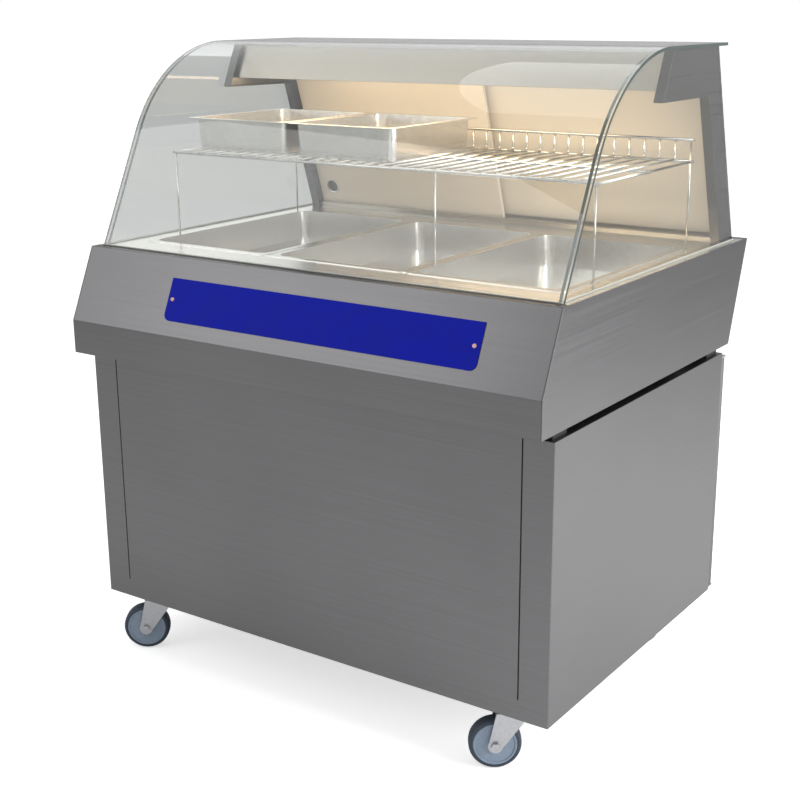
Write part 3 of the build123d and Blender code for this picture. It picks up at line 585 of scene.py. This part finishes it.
def panel_block(name, x, y, size, height, angle, material, body="case", base=0.0):
    """A thin block lying on the control panel, turned by an angle about its normal."""
    shape = bmesh.new()
    bmesh.ops.create_cube(shape, size=1.0)
    spin = Matrix.Rotation(angle, 3, "Z")
    for vert in shape.verts:
        local = Vector((vert.co.x * size[0], vert.co.y * size[1], 0))
        local = spin @ local + Vector((x, y, base + (vert.co.z + 0.5) * height))
        vert.co = dial_centre + panel_frame @ local
    bmesh.ops.recalc_face_normals(shape, faces=shape.faces)
    mesh = bpy.data.meshes.new(name)
    shape.to_mesh(mesh)
    shape.free()
    return link(mesh, name, material, body)


TICKS = 9
for tick in range(TICKS):
    angle = math.radians(135 - 270 * tick / (TICKS - 1))
    place = Vector((math.sin(-angle), math.cos(angle))) * 27 * MM
    panel_block(f"dial_tick_{tick}", place.x, place.y, (1.2 * MM, 5 * MM), 0.2 * MM, angle, mark_white)
panel_block("knob_pointer", 0, 9 * MM, (2 * MM, 11 * MM), 0.5 * MM, 0, mark_white, "knob", 18.8 * MM)
for word, x in (("heat", -110 * MM), ("light", 110 * MM)):
    panel_block(f"rocker_mark_on_{word}", x, 5 * MM, (1.2 * MM, 5 * MM), 0.2 * MM, 0, mark_white,
                f"rocker_{word}_body", 5 * MM)
    panel_block(f"rocker_mark_off_{word}", x, -5 * MM, (4 * MM, 1.2 * MM), 0.2 * MM, 0, mark_white,
                f"rocker_{word}_body", 5 * MM)

# ------------------------------------------------------------------ door pulls and fixings
# A plated ring round each finger pull, and screws along the rear panel.
door_normal = Vector((0, -math.cos(math.radians(18)), -math.sin(math.radians(18))))
door_up = Vector((0, -math.sin(math.radians(18)), math.cos(math.radians(18))))
foot_mid = Vector((0, post_high.y - 31 * MM, deck_z))
for word, sign, level in (("left", -1, 14 * MM), ("right", 1, -14 * MM)):
    centre = foot_mid + Vector((sign * (500 - 38) * MM, 0, 0)) + door_up * 58 * MM + door_normal * level
    facing = door_normal * (1 if level > 0 else -1)
    ring = [(0.0175, 0), (0.0172, 0.0012), (0.0155, 0.0016), (0.0142, 0.0008), (0.0138, -0.0045), (0.0139, 0)]
    lathe(f"pull_ring_{word}", ring, centre, facing, chrome, f"sliding_leaf_{word}", ring=True)
    well = [(0.0136, -0.0047), (0.0136, -0.0040)]
    lathe(f"pull_dish_{word}", well, centre, facing, black_plastic, f"sliding_leaf_{word}")

for index in range(6):
    x = (-0.52 + 1.04 * index / 5)
    spot = dial_centre + panel_frame @ Vector((-x, 96 * MM, 0))
    pan_screw(f"rear_panel_screw_{index}", spot, normal, 4 * MM)

# ------------------------------------------------------------------ light
# Soft studio light from above and from the right, with the case's own warm lamps inside.
def area_light(name, place, target, size, power, color=(1, 1, 1), tall=None):
    data = bpy.data.lights.new(name, "AREA")
    data.energy = power
    data.color = color
    data.size = size
    if tall:
        data.shape = "RECTANGLE"
        data.size_y = tall
    light = bpy.data.objects.new(name, data)
    scene.collection.objects.link(light)
    light.location = place
    light.rotation_euler = (Vector(target) - Vector(place)).to_track_quat("-Z", "Y").to_euler()
    return light


area_light("key_light", (3.0, 0.5, 1.7), (0.4, 0, 0.5), 2.6, 110)
area_light("fill_light", (-2.4, -3.0, 2.6), (0, 0, 0.8), 2.4, 26)
top_light = area_light("top_light", (0.0, 0.4, 3.4), (0, 0, 0.9), 2.4, 34)
top_light.visible_glossy = False
canopy_low, canopy_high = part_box("lamp_canopy")
heat_light = area_light("heat_light",
                        (0, (canopy_low.y + canopy_high.y) / 2, canopy_low.z + 4 * MM),
                        (0, 0.0, deck_z), 0.92, 2.4, (1.0, 0.76, 0.50), 0.09)
shelf_light = area_light("shelf_light", (0, canopy_low.y + 0.02, canopy_low.z - 0.01),
                         (0, 0.33, deck_z + 0.12), 0.92, 1.0, (1.0, 0.84, 0.64), 0.03)

for warm in (heat_light, shelf_light):
    warm.visible_camera = False
    warm.visible_transmission = False

world = bpy.data.worlds.new("studio")
scene.world = world
world.use_nodes = True
world_tree = world.node_tree
backdrop = world_tree.nodes["Background"]
paths = world_tree.nodes.new("ShaderNodeLightPath")
seen = world_tree.nodes.new("ShaderNodeMath")
seen.operation = "MAXIMUM"
world_tree.links.new(paths.outputs["Is Camera Ray"], seen.inputs[0])
world_tree.links.new(paths.outputs["Is Transmission Ray"], seen.inputs[1])
level = world_tree.nodes.new("ShaderNodeMapRange")
level.inputs["To Min"].default_value = 0.5
level.inputs["To Max"].default_value = 1.0
world_tree.links.new(seen.outputs[0], level.inputs["Value"])
world_tree.links.new(level.outputs["Result"], backdrop.inputs["Strength"])
backdrop.inputs["Color"].default_value = (1, 1, 1, 1)

# ------------------------------------------------------------------ floor
# A plain pale floor. It shows white to the eye where nothing shades it.
floor_shape = bmesh.new()
bmesh.ops.create_grid(floor_shape, x_segments=1, y_segments=1, size=60)
floor_mesh = bpy.data.meshes.new("floor")
floor_shape.to_mesh(floor_mesh)
floor_shape.free()
floor = bpy.data.objects.new("floor", floor_mesh)
scene.collection.objects.link(floor)
floor_paint = bpy.data.materials.new("pale_floor")
floor_paint.use_nodes = True
floor_tree = floor_paint.node_tree
floor_shader = floor_tree.nodes["Principled BSDF"]
floor_shader.inputs["Base Color"].default_value = (0.93, 0.93, 0.93, 1)
floor_shader.inputs["Roughness"].default_value = 0.9
floor_path = floor_tree.nodes.new("ShaderNodeLightPath")
floor_lift = floor_tree.nodes.new("ShaderNodeMath")
floor_lift.operation = "MULTIPLY"
floor_lift.inputs[1].default_value = 0.6
floor_tree.links.new(floor_path.outputs["Is Camera Ray"], floor_lift.inputs[0])
floor_shader.inputs["Emission Color"].default_value = (1, 1, 1, 1)
floor_tree.links.new(floor_lift.outputs[0], floor_shader.inputs["Emission Strength"])
floor_mesh.materials.append(floor_paint)

# ------------------------------------------------------------------ camera
CAMERA_PLACE = Vector((1.580, -2.330, 1.377))
YAW, PITCH, ROLL = (math.radians(angle) for angle in (34.73, 16.18, -0.39))
LENS = 61.88
forward = Vector((-math.sin(YAW) * math.cos(PITCH), math.cos(YAW) * math.cos(PITCH), -math.sin(PITCH)))
level_right = Vector((math.cos(YAW), math.sin(YAW), 0))
level_up = level_right.cross(forward)
right = math.cos(ROLL) * level_right + math.sin(ROLL) * level_up
up = -math.sin(ROLL) * level_right + math.cos(ROLL) * level_up
camera_data = bpy.data.cameras.new("camera")
camera_data.lens = LENS
camera_data.sensor_width = 36.0
camera = bpy.data.objects.new("camera", camera_data)
scene.collection.objects.link(camera)
camera.matrix_world = (Matrix.Translation(CAMERA_PLACE)
                       @ Matrix((right, up, -forward)).transposed().to_4x4())
scene.camera = camera
scene.view_settings.view_transform = "Standard"
